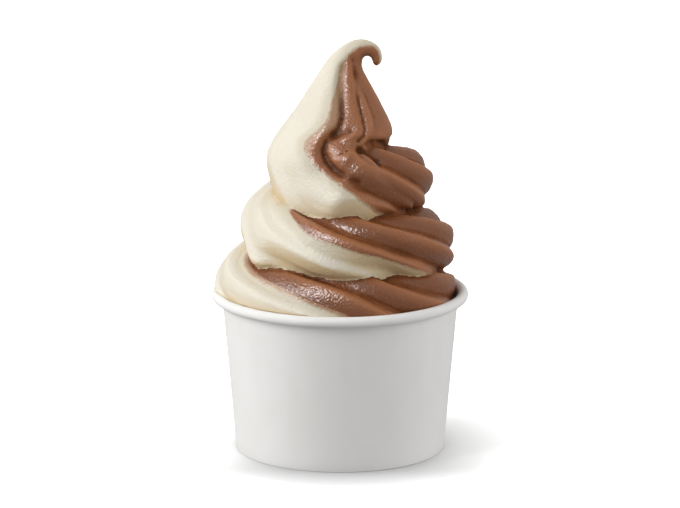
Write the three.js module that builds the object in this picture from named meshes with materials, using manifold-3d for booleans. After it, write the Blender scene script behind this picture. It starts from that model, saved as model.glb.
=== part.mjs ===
// Soft serve cup: a rope of vanilla and chocolate soft ice cream, piped side by side from a star
// nozzle, laid in a rising coil and drawn up to a hooked tip, in a plain white paper cup.
// Millimetres, +Z up. The origin is the centre of the ring that the cup stands on, and the
// front, with chocolate to the right, faces -Y.
import * as THREE from 'three';
import { mergeVertices } from 'three/addons/utils/BufferGeometryUtils.js';
import Module from 'manifold-3d';

const wasm = await Module();
wasm.setup();

// ---- Driving dimensions ----

const CUP_HEIGHT = 60;          // to the top of the rolled rim
const RIM_DIAMETER = 95;        // over the outside of the rolled rim
const BEAD_RADIUS = 1.95;       // the rolled rim's own section
const FOOT_DIAMETER = 77.5;     // over the outside of the wall at the foot
const PAPER = 0.6;              // board thickness
const FOLD_HEIGHT = 6.5;        // the foot's board is folded double up to here
const BASE_TOP = 6.0;           // height of the recessed base's upper side
const SKIRT_BOTTOM = 0.8;       // the base's turned-down edge ends this far above the table
const GAP = 0.3;                // clearance between touching pieces

const NOZZLE_RIBS = 7;          // teeth of the star nozzle, so ribs round the rope
const RIB_START = -110;         // degrees round the rope from +X to the first valley
const RIB_CREST_AT = 0.7;       // where a rib's crest lies, as a share of its width
const RIB_FULLNESS = 0.8;       // below 1 the long flank of a rib swells
const RIB_ARC = 66;             // degrees the long flank bends over before it meets the crest
const RIB_DROP = 1.3;           // above 1 the short flank runs out flat into the valley
const VANILLA_RIBS = 0.55;      // the softer flavour's ribs, as a share of the chocolate's
const RIB_CHANGE = 1.5;         // how soon round the rope the ribs change from one to the other
const FIRST_TURN = 0.75;        // the coil starts here, under the fill

// The coil: the rope's centre line, seen from above, runs clockwise from +X.
// turn, centre x, coil radius, height, half width, half height, twist in degrees, rib depth
const COIL = [
  [0.50, 0.0, 27.0, 48.0, 15.0, 14.0, 0, 0.18],
  [1.00, 0.0, 28.4, 58.0, 15.5, 15.0, 0, 0.18],
  [1.125, 0.0, 29.0, 58.6, 15.5, 15.0, -2, 0.19],
  [1.25, 0.0, 29.0, 59.5, 15.5, 15.0, 20, 0.19],
  [1.50, -1.0, 30.0, 61.5, 15.5, 14.5, 0, 0.19],
  [1.75, 0.0, 29.0, 69.0, 15.0, 14.0, 0, 0.18],
  [2.00, 2.3, 26.0, 76.5, 14.8, 13.8, 0, 0.18],
  [2.25, 2.0, 25.0, 80.8, 14.7, 13.0, 10, 0.19],
  [2.50, 2.0, 24.7, 84.0, 14.3, 13.4, 16, 0.12],
  [2.75, 3.0, 23.0, 92.0, 14.4, 13.2, -5, 0.18],
  [3.00, 3.3, 17.0, 100.5, 14.0, 13.4, -22, 0.19],
  [3.125, 2.4, 15.5, 101.5, 14.4, 14.6, -18, 0.19],
];

// The lift: the rope bends up off the coil, thins out and hooks over at its tip.
// turn, x, y, height, half width, twist in degrees, rib depth, lean of the rope towards -X in degrees
const LIFT = [
  [3.250, 1.5, -14.0, 101.5, 16.8, -14, 0.12, 72],
  [3.330, -3.8, -8.4, 105.0, 19.6, -14, 0.09, 46],
  [3.400, -5.4, -2.9, 109.3, 22.0, -17, 0.09, 25],
  [3.460, -4.8, -0.3, 113.5, 23.2, -28, 0.10, 11],
  [3.520, -2.9, -0.3, 117.5, 22.3, -34, 0.11, 3],
  [3.590, -0.9, -1.0, 123.0, 19.6, -30, 0.12, -1],
  [3.660, 0.1, -0.7, 128.5, 16.2, -28, 0.13, -3],
  [3.730, 0.6, 0.0, 134.5, 12.6, -32, 0.13, -4],
  [3.800, 1.3, 0.0, 140.4, 9.0, -39, 0.12, -7],
  [3.860, 2.5, 0.0, 145.0, 6.5, -43, 0.10, -21],
  [3.910, 4.7, 0.0, 148.3, 4.6, -42, 0.08, -39],
  [3.955, 7.1, 0.0, 149.9, 3.7, -39, 0.07, -69],
  [4.000, 9.7, 0.0, 150.1, 3.1, -38, 0.06, -102],
  [4.040, 12.2, 0.0, 149.1, 2.6, -38, 0.05, -133],
  [4.080, 13.5, 0.0, 146.8, 2.0, -38, 0.03, -164],
  [4.110, 13.5, 0.0, 144.8, 1.5, -38, 0.02, -178],
  [4.122, 13.4, 0.0, 143.7, 0.6, -38, 0.0, -178],
];

// Where chocolate begins round the rope: turn, degrees. It ends at CHOCOLATE_END all along.
const CHOCOLATE_BEGINS = [
  [0.50, -90], [1.00, -90], [1.25, -108], [1.60, -92], [2.07, -75], [2.31, -93], [2.50, -80],
  [2.75, -90], [3.15, -90], [3.23, -69], [3.35, -71], [3.47, -77], [3.56, -87], [3.65, -77],
  [3.79, -64], [3.91, -65], [4.03, -98], [4.13, -87],
];
const CHOCOLATE_END = 90;

// Where the soft ribs sag over the layer below: turn, degrees round the rope, the reach of the
// sag along (turns) and round (degrees), then how far it moves in x, y and z.
const SAGS = [
  [3.280, -108, 0.055, 38, 0.0, -1.8, -2.2],
  [3.370, -128, 0.060, 38, -0.6, -1.2, -1.6],
  [3.180, -100, 0.030, 20, 0.0, -0.8, -1.4],
  [2.405, -176, 0.028, 26, -1.8, -1.2, -3.6],
  [2.290, -135, 0.060, 34, 0.0, -0.7, -1.0],
  [2.180, -108, 0.045, 24, 0.0, 0.8, 2.0],
];

const CORE_BOTTOM_RADIUS = 24;  // ice cream that fills the middle of the coil
const CORE_TOP_RADIUS = 12;
const CORE_TOP = 112;
const FILL_TOP = 50;            // ice cream that fills the cup under the coil
const PEAK_ROOT_TURN = 3.47;    // the upright peak is rooted in the coil from here
const PEAK_ROOT_DEPTH = 9;
const PEAK_ROOT_TAPER = 0.8;    // the root's width at its bottom, as a share of the peak's

const ROUND_SIDES = 64;         // sides of the round cup
const STATIONS_PER_TURN = 16;
const COIL_STEPS_PER_TURN = 20;
const LIFT_STEPS = 24;

// ---- Materials ----

const paper = new THREE.MeshStandardMaterial({ color: 0xe9e8e5, roughness: 0.72, metalness: 0 });
const vanillaIce = new THREE.MeshStandardMaterial({ color: 0xede7d8, roughness: 0.42, metalness: 0 });
const chocolateIce = new THREE.MeshStandardMaterial({ color: 0x835742, roughness: 0.4, metalness: 0 });

// ---- Small helpers ----

const radians = (degrees) => degrees * Math.PI / 180;

// Value of a table at t: a smooth curve through the rows, whose first column is t.
function tableAt(rows, t) {
  const last = rows.length - 1;
  let k = rows.findIndex((row) => row[0] > t) - 1;
  if (k < 0) k = t < rows[0][0] ? 0 : last - 1;
  const slope = (i, j) => (rows[i + 1][j] - rows[i][j]) / (rows[i + 1][0] - rows[i][0]);
  const tangent = (i, j) => {
    if (i === 0) return slope(0, j);
    if (i === last) return slope(last - 1, j);
    const before = rows[i][0] - rows[i - 1][0];
    const after = rows[i + 1][0] - rows[i][0];
    return (slope(i - 1, j) * after + slope(i, j) * before) / (before + after);
  };
  const h = rows[k + 1][0] - rows[k][0];
  const s = (t - rows[k][0]) / h;
  return rows[k].map((value, j) => (
    (2 * s ** 3 - 3 * s ** 2 + 1) * value + (s ** 3 - 2 * s ** 2 + s) * h * tangent(k, j)
    + (3 * s ** 2 - 2 * s ** 3) * rows[k + 1][j] + (s ** 3 - s ** 2) * h * tangent(k + 1, j)
  ));
}

function toSolid(geometry) {
  geometry.deleteAttribute('normal');
  geometry.deleteAttribute('uv');
  const merged = mergeVertices(geometry, 1e-4);
  return new wasm.Manifold(new wasm.Mesh({
    numProp: 3,
    vertProperties: new Float32Array(merged.attributes.position.array),
    triVerts: new Uint32Array(merged.index.array),
  }));
}

function toGeometry(solid) {
  const mesh = solid.getMesh();
  const geometry = new THREE.BufferGeometry();
  const positions = new Float32Array(mesh.numVert * 3);
  for (let v = 0; v < mesh.numVert; v += 1) {
    for (let axis = 0; axis < 3; axis += 1) {
      positions[v * 3 + axis] = mesh.vertProperties[v * mesh.numProp + axis];
    }
  }
  geometry.setAttribute('position', new THREE.BufferAttribute(positions, 3));
  geometry.setIndex(new THREE.BufferAttribute(new Uint32Array(mesh.triVerts), 1));
  geometry.computeVertexNormals();
  return geometry;
}

const join = (solids) => solids.reduce((whole, solid) => whole.add(solid));
const largest = (solid) => solid.decompose().reduce((a, b) => (b.volume() > a.volume() ? b : a));

// Turns a closed outline of [radius, height] points round the Z axis.
function turned(outline) {
  const points = outline.map(([radius, height]) => new THREE.Vector2(radius, height));
  const lathe = new THREE.LatheGeometry(points, ROUND_SIDES);
  return lathe.rotateX(Math.PI / 2);
}

// ---- The paper cup ----

const beadCentre = [RIM_DIAMETER / 2 - BEAD_RADIUS, CUP_HEIGHT - BEAD_RADIUS];
const innerTopRadius = beadCentre[0] - BEAD_RADIUS;
const outerFootRadius = FOOT_DIAMETER / 2;
const wallSlope = (innerTopRadius + PAPER - outerFootRadius) / beadCentre[1];
const outerRadiusAt = (height) => outerFootRadius + wallSlope * height;
const innerRadiusAt = (height) => outerRadiusAt(height) - PAPER;

function arc(radius, fromDegrees, toDegrees, steps) {
  return Array.from({ length: steps + 1 }, (_, i) => {
    const angle = radians(fromDegrees + (toDegrees - fromDegrees) * i / steps);
    return [beadCentre[0] + radius * Math.cos(angle), beadCentre[1] + radius * Math.sin(angle)];
  });
}

function cupWall() {
  const beadMeetsWall = -160;
  const outline = [
    [outerRadiusAt(0), 0],
    ...arc(BEAD_RADIUS, beadMeetsWall, 180, 12),
    [innerRadiusAt(FOLD_HEIGHT), FOLD_HEIGHT],
    [innerRadiusAt(FOLD_HEIGHT) - PAPER, FOLD_HEIGHT],
    [innerRadiusAt(0) - PAPER, 0],
    [outerRadiusAt(0), 0],
  ];
  return turned(outline);
}

function cupBase() {
  const edge = (height) => innerRadiusAt(height) - PAPER - GAP;
  const underside = BASE_TOP - PAPER;
  return turned([
    [0, underside],
    [edge(underside) - PAPER, underside],
    [edge(SKIRT_BOTTOM) - PAPER, SKIRT_BOTTOM],
    [edge(SKIRT_BOTTOM), SKIRT_BOTTOM],
    [edge(BASE_TOP), BASE_TOP],
    [0, BASE_TOP],
  ]);
}

// All the room that the ice cream may take: inside the cup, clear of its wall, and over its rim.
function roomForIce() {
  const bottom = BASE_TOP + GAP;
  const wide = RIM_DIAMETER;
  const high = CUP_HEIGHT * 4;
  const foldClear = innerRadiusAt(FOLD_HEIGHT) - PAPER - GAP;
  return toSolid(turned([
    [0, bottom],
    [foldClear, bottom],
    [foldClear, FOLD_HEIGHT + GAP],
    [innerRadiusAt(FOLD_HEIGHT) - GAP, FOLD_HEIGHT + GAP],
    ...arc(BEAD_RADIUS + GAP, 180, 90, 4),
    [wide, CUP_HEIGHT + GAP],
    [wide, high],
    [0, high],
  ]));
}

// ---- The rope of soft serve ----

// Every station of the rope: turn, x, y, z, half width, half height, twist, rib depth, direction.
function ropeStations() {
  const firstTurn = COIL[0][0];
  const lastTurn = COIL[COIL.length - 1][0];
  const count = Math.round((lastTurn - firstTurn) * STATIONS_PER_TURN);
  const rows = [];
  for (let i = 0; i <= count; i += 1) {
    const turn = firstTurn + i / STATIONS_PER_TURN;
    const [, x, radius, height, halfWidth, halfHeight, twist, depth] = tableAt(COIL, turn);
    const angle = -2 * Math.PI * turn;
    rows.push([turn, x + radius * Math.cos(angle), radius * Math.sin(angle), height,
      halfWidth, halfHeight, twist, depth]);
  }
  for (const [turn, x, y, height, halfWidth, twist, depth] of LIFT) {
    rows.push([turn, x, y, height, halfWidth, halfWidth, twist, depth]);
  }
  const coilRows = count + 1;
  return rows.map((row, i) => {
    const lean = i < coilRows ? 0 : radians(LIFT[i - coilRows][7]);
    const next = rows[Math.min(i + 1, rows.length - 1)];
    const before = rows[Math.max(i - 1, 0)];
    const along = new THREE.Vector3(next[1] - before[1], next[2] - before[2], next[3] - before[3]);
    const direction = i < coilRows ? along.normalize()
      : new THREE.Vector3(-Math.sin(lean), 0, Math.cos(lean));
    return [...row, direction.x, direction.y, direction.z];
  });
}

const stations = ropeStations();

// How far out the rope's skin lies at an angle round it, as a share of its half width.
function ribAt(angle, depth) {
  const ribWidth = 2 * Math.PI / NOZZLE_RIBS;
  const share = (((angle - radians(RIB_START)) / ribWidth) % 1 + 1) % 1;
  const arcShare = Math.sin(radians(RIB_ARC) * share / RIB_CREST_AT) / Math.sin(radians(RIB_ARC));
  const rise = share < RIB_CREST_AT
    ? arcShare ** RIB_FULLNESS
    : (1 - (share - RIB_CREST_AT) / (1 - RIB_CREST_AT)) ** RIB_DROP;
  const towardsChocolate = Math.min(Math.max(0.5 + RIB_CHANGE * Math.cos(angle), 0), 1);
  const softer = VANILLA_RIBS + (1 - VANILLA_RIBS) * towardsChocolate;
  return 1 - depth * softer * (1 - rise);
}

// The rope's section at a turn. The nozzle never turns: its +X half is chocolate, and the rope is
// bent over from upright without being spun, so ribs and flavours wind round it by themselves.
function sectionAt(turn) {
  const [, x, y, z, halfWidth, halfHeight, twist, depth, dx, dy, dz] = tableAt(stations, turn);
  const direction = new THREE.Vector3(dx, dy, dz).normalize();
  const bend = new THREE.Quaternion().setFromUnitVectors(new THREE.Vector3(0, 0, 1), direction);
  return {
    turn, centre: new THREE.Vector3(x, y, z), direction, bend, halfWidth, halfHeight, twist, depth,
  };
}

// How far the soft rope sags at an angle round a section.
function sagAt(section, angle) {
  const move = new THREE.Vector3();
  for (const [turn, degrees, reach, wide, x, y, z] of SAGS) {
    const away = Math.atan2(Math.sin(angle - radians(degrees)), Math.cos(angle - radians(degrees)));
    const share = Math.exp(-(((section.turn - turn) / reach) ** 2) - (away / radians(wide)) ** 2);
    move.addScaledVector(new THREE.Vector3(x, y, z), share);
  }
  return move;
}

function skinPoint(section, angle, growth, shift) {
  const turnedAngle = angle + radians(section.twist);
  const out = section.halfWidth * ribAt(angle, section.depth) + growth;
  const point = new THREE.Vector3(Math.cos(turnedAngle), Math.sin(turnedAngle), 0)
    .multiplyScalar(out)
    .add(new THREE.Vector3(Math.cos(radians(section.twist)), Math.sin(radians(section.twist)), 0)
      .multiplyScalar(shift))
    .applyQuaternion(section.bend);
  point.z *= section.halfHeight / section.halfWidth;
  return point.add(section.centre).add(sagAt(section, angle));
}

// Angles round the rope between two bounds: each rib's valley, flank and crest.
function marksBetween(from, to) {
  const ribWidth = 360 / NOZZLE_RIBS;
  const shares = [0, 0.33, RIB_CREST_AT];
  const marks = [];
  for (let rib = -NOZZLE_RIBS; rib <= 2 * NOZZLE_RIBS; rib += 1) {
    for (const share of shares) {
      const angle = RIB_START + (rib + share) * ribWidth;
      if (angle > from && angle < to) marks.push(angle);
    }
  }
  return marks;
}

const MARK_SPACING = 1; // degrees between marks where the boundary crowds them
const BEGINS = CHOCOLATE_BEGINS.map(([, begin]) => begin);
const CHOCOLATE_MARKS = marksBetween(Math.min(...BEGINS) + MARK_SPACING,
  CHOCOLATE_END - MARK_SPACING);
const VANILLA_MARKS = marksBetween(CHOCOLATE_END + MARK_SPACING,
  Math.max(...BEGINS) + 360 - MARK_SPACING);

// A half's angles at a turn, in degrees, from one flavour boundary to the other. The count never
// changes: marks that the boundary has passed crowd up in front of it.
function halfAngles(half, turn) {
  const [, begin] = tableAt(CHOCOLATE_BEGINS, turn);
  if (half === CHOCOLATE_MARKS) {
    const marks = half.map((mark, i) => Math.max(mark, begin + MARK_SPACING * (i + 1)));
    return [begin, ...marks, CHOCOLATE_END];
  }
  const marks = half.map((mark, i) => (
    Math.min(mark, begin + 360 - MARK_SPACING * (half.length - i))));
  return [CHOCOLATE_END, ...marks, begin + 360];
}

// One ring of points round a flavour's half of the rope.
function halfRing(section, half, growth) {
  const inwardShift = half === CHOCOLATE_MARKS ? -growth : growth;
  const angles = halfAngles(half, section.turn).map(radians);
  const ring = angles.map((angle) => skinPoint(section, angle, growth, 0));
  if (growth > 0) {
    ring.unshift(skinPoint(section, angles[0], growth, inwardShift));
    ring.push(skinPoint(section, angles[angles.length - 1], growth, inwardShift));
  }
  return ring;
}

// Closes a run of rings to a solid. Where the rope bends more sharply than it is wide, a point
// on the inside of the bend waits until the rope has come round.
function sweep(rings, directions) {
  const sides = rings[0].length;
  const positions = [];
  const held = rings.map((ring) => ring.map((point) => point.clone()));
  const creep = 0.02;
  for (let i = 1; i < held.length; i += 1) {
    const along = directions[i].clone().add(directions[i - 1]).normalize();
    for (let j = 0; j < sides; j += 1) {
      const advance = held[i][j].clone().sub(held[i - 1][j]).dot(along);
      if (advance < creep) held[i][j].copy(held[i - 1][j]).addScaledVector(along, creep);
    }
  }
  for (const ring of held) {
    for (const point of ring) positions.push(point.x, point.y, point.z);
  }
  const index = [];
  const last = (held.length - 1) * sides;
  for (let i = 0; i + 1 < held.length; i += 1) {
    for (let j = 0; j < sides; j += 1) {
      const next = (j + 1) % sides;
      const a = i * sides + j;
      const b = i * sides + next;
      index.push(a, b, b + sides, a, b + sides, a + sides);
    }
  }
  const capCentre = (ring) => ring.reduce((sum, p) => sum.add(p), new THREE.Vector3())
    .divideScalar(sides);
  const bottom = capCentre(held[0]);
  const top = capCentre(held[held.length - 1]);
  const bottomIndex = held.length * sides;
  positions.push(bottom.x, bottom.y, bottom.z, top.x, top.y, top.z);
  for (let j = 0; j < sides; j += 1) {
    const next = (j + 1) % sides;
    index.push(bottomIndex, next, j, bottomIndex + 1, last + j, last + next);
  }
  const geometry = new THREE.BufferGeometry();
  geometry.setAttribute('position', new THREE.Float32BufferAttribute(positions, 3));
  geometry.setIndex(index);
  return toSolid(geometry);
}

// A run of the rope from one turn to another, as one flavour's solid.
function ropeRun(fromTurn, toTurn, steps, half, growth, root = 0) {
  const sections = [];
  for (let i = 0; i <= steps; i += 1) {
    sections.push(sectionAt(fromTurn + (toTurn - fromTurn) * i / steps));
  }
  if (root > 0) {
    const lowest = sectionAt(fromTurn);
    lowest.centre.addScaledVector(lowest.direction, -root - growth);
    lowest.halfWidth *= PEAK_ROOT_TAPER;
    lowest.halfHeight *= PEAK_ROOT_TAPER;
    sections.unshift(lowest);
  }
  return sweep(sections.map((section) => halfRing(section, half, growth)),
    sections.map((section) => section.direction));
}

// One flavour's half of the whole rope, in runs of at most half a turn so that none meets itself.
function flavour(half, growth) {
  const lastCoilTurn = 3.0;
  const runs = [];
  const run = 0.45;
  for (let turn = FIRST_TURN; turn < lastCoilTurn - 1e-6; turn += run) {
    const steps = Math.round(run * COIL_STEPS_PER_TURN);
    runs.push(ropeRun(turn, turn + run, steps, half, growth));
  }
  const tipTurn = LIFT[LIFT.length - 1][0];
  runs.push(ropeRun(lastCoilTurn, PEAK_ROOT_TURN, LIFT_STEPS / 2, half, growth));
  runs.push(ropeRun(PEAK_ROOT_TURN, tipTurn, LIFT_STEPS, half, growth, PEAK_ROOT_DEPTH));
  return join(runs);
}

// The ice cream in the cup and in the middle of the coil, for one side of the nozzle.
function filling(side, plane) {
  const wide = RIM_DIAMETER;
  const half = new THREE.BoxGeometry(wide, 2 * wide, 4 * wide);
  half.translate(side * (wide / 2) + plane, 0, 0);
  const fill = turned([[0, 0], [wide / 2, 0], [wide / 2, FILL_TOP], [CORE_BOTTOM_RADIUS, FILL_TOP],
    [CORE_TOP_RADIUS, CORE_TOP], [0, CORE_TOP]]);
  return toSolid(fill).intersect(toSolid(half));
}

const room = roomForIce();
const chocolateSolid = flavour(CHOCOLATE_MARKS, 0).add(filling(1, 0)).intersect(room);
const chocolateCleared = flavour(CHOCOLATE_MARKS, GAP).add(filling(1, -GAP));
const vanillaSolid = flavour(VANILLA_MARKS, 0).add(filling(-1, 0)).intersect(room)
  .subtract(chocolateCleared);

// ---- The scene graph ----

function piece(name, geometry, material) {
  const mesh = new THREE.Mesh(geometry, material);
  mesh.name = name;
  return mesh;
}

const cup = new THREE.Group();
cup.add(piece('cup_wall', cupWall(), paper));
cup.add(piece('cup_base', cupBase(), paper));

const softServe = new THREE.Group();
softServe.add(piece('vanilla', toGeometry(largest(vanillaSolid)), vanillaIce));
softServe.add(piece('chocolate', toGeometry(largest(chocolateSolid)), chocolateIce));

const softServeCup = new THREE.Group();
softServeCup.add(cup, softServe);

export default softServeCup;
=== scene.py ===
"""Soft serve cup: the finished look of a cup of piped vanilla and chocolate soft ice cream.

A rope of two flavours, pressed side by side through a star nozzle, is laid in a rising coil and
drawn up to a hooked tip. It stands in a plain white paper cup with a rolled rim. Lengths in the
tables are millimetres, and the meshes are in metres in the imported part's own frame.
"""

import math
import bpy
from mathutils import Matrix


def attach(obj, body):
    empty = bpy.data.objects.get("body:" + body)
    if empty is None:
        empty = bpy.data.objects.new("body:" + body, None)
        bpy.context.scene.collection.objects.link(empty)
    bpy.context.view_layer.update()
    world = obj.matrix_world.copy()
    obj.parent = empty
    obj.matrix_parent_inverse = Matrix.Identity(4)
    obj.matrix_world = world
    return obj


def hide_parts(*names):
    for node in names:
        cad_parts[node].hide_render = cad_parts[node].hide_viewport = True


bl_info = {
    "name": "Soft Serve Cup",
    "version": (1, 0, 0),
    "blender": (4, 5, 0),
    "location": "3D View > Sidebar > Soft Serve",
    "description": "Builds a vanilla and chocolate soft serve swirl in a paper cup",
    "category": "Add Mesh",
}

import bpy
import numpy as np
from mathutils import Vector
from mathutils.kdtree import KDTree

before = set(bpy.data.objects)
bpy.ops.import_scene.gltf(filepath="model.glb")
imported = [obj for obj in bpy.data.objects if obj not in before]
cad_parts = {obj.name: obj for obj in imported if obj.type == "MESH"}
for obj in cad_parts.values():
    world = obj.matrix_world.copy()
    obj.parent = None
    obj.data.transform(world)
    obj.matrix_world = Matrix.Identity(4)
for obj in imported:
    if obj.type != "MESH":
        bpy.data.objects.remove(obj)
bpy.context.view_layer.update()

MM = 0.001

# ---- Sizes of the cup, in millimetres ----

CUP_HEIGHT = 60.0
RIM_DIAMETER = 95.0
BEAD_RADIUS = 1.95
FOOT_DIAMETER = 77.5
PAPER = 0.6
FOLD_HEIGHT = 6.5
BASE_TOP = 6.0
SKIRT_BOTTOM = 0.8
BASE_CLEARANCE = 0.3
ICE_CLEARANCE = 0.12
FILL_TOP = 50.0

# ---- The rope: a star nozzle's section, carried along a rising coil ----

NOZZLE_RIBS = 7
RIB_START = -110.0  # degrees round the rope from +X to the first valley
RIB_CREST_AT = 0.7  # where a rib's crest lies, as a share of its width
RIB_FULLNESS = 0.8  # below 1 the long flank of a rib swells
RIB_ARC = math.radians(66)  # how far the long flank bends over before it meets the crest
RIB_DROP = 1.3  # above 1 the short flank runs out flat into the valley

# turn, centre x, coil radius, height, half width, half height, twist in degrees, rib depth
COIL = np.array([
    [0.50, 0.0, 27.0, 48.0, 15.0, 14.0, 0, 0.18],
    [1.00, 0.0, 28.4, 58.0, 15.5, 15.0, 0, 0.18],
    [1.125, 0.0, 29.0, 58.6, 15.5, 15.0, -2, 0.19],
    [1.25, 0.0, 29.0, 59.5, 15.5, 15.0, 20, 0.19],
    [1.50, -1.0, 30.0, 61.5, 15.5, 14.5, 0, 0.19],
    [1.75, 0.0, 29.0, 69.0, 15.0, 14.0, 0, 0.18],
    [2.00, 2.3, 26.0, 76.5, 14.8, 13.8, 0, 0.18],
    [2.25, 2.0, 25.0, 80.8, 14.7, 13.0, 10, 0.19],
    [2.50, 2.0, 24.7, 84.0, 14.3, 13.4, 16, 0.12],
    [2.75, 3.0, 23.0, 92.0, 14.4, 13.2, -5, 0.18],
    [3.00, 3.3, 17.0, 100.5, 14.0, 13.4, -22, 0.19],
    [3.125, 2.4, 15.5, 101.5, 14.4, 14.6, -18, 0.19],
])

# turn, x, y, height, half width, twist in degrees, rib depth, lean towards -X in degrees
LIFT = np.array([
    [3.250, 1.5, -14.0, 101.5, 16.8, -14, 0.12, 72],
    [3.330, -3.8, -8.4, 105.0, 19.6, -14, 0.09, 46],
    [3.400, -5.4, -2.9, 109.3, 22.0, -17, 0.09, 25],
    [3.460, -4.8, -0.3, 113.5, 23.2, -28, 0.10, 11],
    [3.520, -2.9, -0.3, 117.5, 22.3, -34, 0.11, 3],
    [3.590, -0.9, -1.0, 123.0, 19.6, -30, 0.12, -1],
    [3.660, 0.1, -0.7, 128.5, 16.2, -28, 0.13, -3],
    [3.730, 0.6, 0.0, 134.5, 12.6, -32, 0.13, -4],
    [3.800, 1.3, 0.0, 140.4, 9.0, -39, 0.12, -7],
    [3.860, 2.5, 0.0, 145.0, 6.5, -43, 0.10, -21],
    [3.910, 4.7, 0.0, 148.3, 4.6, -42, 0.08, -39],
    [3.955, 7.1, 0.0, 149.9, 3.7, -39, 0.07, -69],
    [4.000, 9.7, 0.0, 150.1, 3.1, -38, 0.06, -102],
    [4.040, 12.2, 0.0, 149.1, 2.6, -38, 0.05, -133],
    [4.080, 13.5, 0.0, 146.8, 2.0, -38, 0.03, -164],
    [4.110, 13.5, 0.0, 144.8, 1.5, -38, 0.02, -178],
    [4.122, 13.4, 0.0, 143.7, 0.6, -38, 0.0, -178],
])

# turn, where chocolate begins round the rope in degrees, width of the marbled edge in millimetres
BOUNDARY = np.array([
    [0.50, -90, 0.9],
    [1.00, -90, 0.9],
    [1.25, -108, 1.6],
    [1.40, -104, 2.4],
    [1.60, -92, 1.5],
    [1.90, -88, 0.9],
    [2.07, -75, 0.9],
    [2.17, -83, 0.9],
    [2.26, -89, 0.9],
    [2.31, -93, 0.9],
    [2.38, -80, 1.0],
    [2.50, -80, 1.2],
    [2.75, -90, 1.2],
    [3.08, -90, 1.5],
    [3.15, -90, 2.2],
    [3.18, -80, 1.8],
    [3.23, -69, 1.3],
    [3.35, -71, 1.2],
    [3.41, -76, 1.2],
    [3.47, -77, 1.6],
    [3.52, -83, 2.8],
    [3.557, -87, 4.2],
    [3.60, -81, 6.0],
    [3.65, -77, 5.5],
    [3.71, -74, 4.4],
    [3.75, -69, 3.4],
    [3.79, -64, 2.4],
    [3.86, -63, 1.5],
    [3.91, -65, 0.8],
    [3.945, -70, 0.8],
    [3.976, -75, 0.8],
    [4.01, -90, 0.8],
    [4.034, -98, 0.8],
    [4.06, -92, 0.8],
    [4.13, -87, 0.7],
])
CHOCOLATE_END = 90.0

ROOT_TURN = 3.47  # the upright peak stands on a root that goes down into the coil from here
ROOT_DEPTH = 9.0
EVEN_ROUNDS = 5  # how often the joined ropes are smoothed
FILL_OVER_FOOT = 8.0  # the fill in the cup reaches past the foot's radius, to the wall
FACING_SHARE = 0.3  # how far a skin must face up or down to count as only that
NEAR_SKIN = 0.45  # a cut face's points lie further than this from the body's own points
VANILLA_RIBS = 0.55  # the softer flavour's ribs, as a share of the chocolate's

# Where the soft ribs sag over the layer below: turn, degrees round the rope, the reach of the sag
# along (turns) and round (degrees), then how far it moves in x, y and z.
SAGS = np.array([
    [3.280, -108, 0.055, 38, 0.0, -1.8, -2.2],
    [3.370, -128, 0.060, 38, -0.6, -1.2, -1.6],
    [3.180, -100, 0.030, 20, 0.0, -0.8, -1.4],
    [2.405, -176, 0.028, 26, -1.8, -1.2, -3.6],
    [2.290, -135, 0.060, 34, 0.0, -0.7, -1.0],
    [2.180, -108, 0.045, 24, 0.0, 0.8, 2.0],
])

# Creases and swellings that the draw of the nozzle left on the front of the peak. Each has a half
# width, a depth or height, and a line seen from the front, across and up the picture.
CREASES = [
    (1.1, 0.9, [  # the narrow valley down the peak, round its fold and into the pit
        (4.3, 144.3), (5.4, 138.3), (6.2, 131.7), (7.1, 125.8), (8.4, 120.6), (9.2, 116.5),
        (8.8, 114.0), (6.7, 112.0), (4.6, 110.6),
    ]),
    (1.3, 1.5, [  # the pit and the groove that runs out of it
        (5.0, 110.6), (6.0, 109.6), (7.2, 108.5), (9.2, 106.6), (11.8, 104.8), (15.6, 102.9),
    ]),
    (1.4, 0.8, [  # the deep valley down the peak and round the kink
        (1.4, 142.1), (0.5, 137.9), (-0.1, 134.2), (-0.1, 129.8), (0.2, 125.5), (0.5, 121.8),
        (-0.3, 116.9), (-3.2, 113.8), (-5.0, 111.7), (-6.0, 108.3), (-4.4, 104.6), (-1.3, 101.5),
        (3.0, 98.4), (9.1, 95.9),
    ]),
    (1.7, 0.8, [  # above the shoulder, where the peak goes in behind it
        (-4.4, 112.6), (-0.8, 114.5), (2.7, 115.1), (6.4, 116.8),
    ]),
    (1.0, 0.9, [  # the crease under the peak's right side
        (18.7, 111.4), (15.8, 111.5), (13.6, 112.1), (11.0, 111.7), (9.1, 110.4), (7.2, 108.9),
    ]),
]
SWELLINGS = [
    (1.2, 0.8, [  # the folded rib's lip above the pit
        (-0.5, 112.4), (1.5, 112.6), (3.6, 113.2), (5.4, 114.0), (7.6, 115.2),
    ]),
    (3.4, 1.3, [  # the shoulder
        (-6.0, 108.8), (-1.5, 108.4), (1.8, 107.0), (5.4, 104.0),
    ]),
]
SHOULDER = [(-9.0, 110.0), (-3.0, 108.8), (1.0, 107.0), (6.0, 103.4), (12.0, 100.0)]
SHOULDER_REACH = 5.5  # millimetres either side of that line where the shoulder is smoothed
STROKE_FADE = 3.0  # millimetres over which each of them runs out at its ends

# The rib that folds over where the rope swings upright: x, y, z and radius of a round bead, which
# starts as the lip above the pit, swells to the shoulder and runs out along the coil.
FOLD = np.array([
    [5.8, -18.8, 119.6, 1.6],
    [3.8, -18.6, 118.2, 2.6],
    [1.8, -18.0, 115.9, 4.2],
    [0.9, -17.9, 112.8, 6.2],
    [3.2, -19.7, 110.3, 6.8],
    [7.3, -21.6, 107.9, 6.6],
    [12.0, -21.2, 104.4, 5.8],
    [16.5, -19.6, 101.2, 4.6],
    [21.5, -17.4, 97.6, 3.0],
    [26.0, -14.6, 94.0, 1.0],
])

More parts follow.
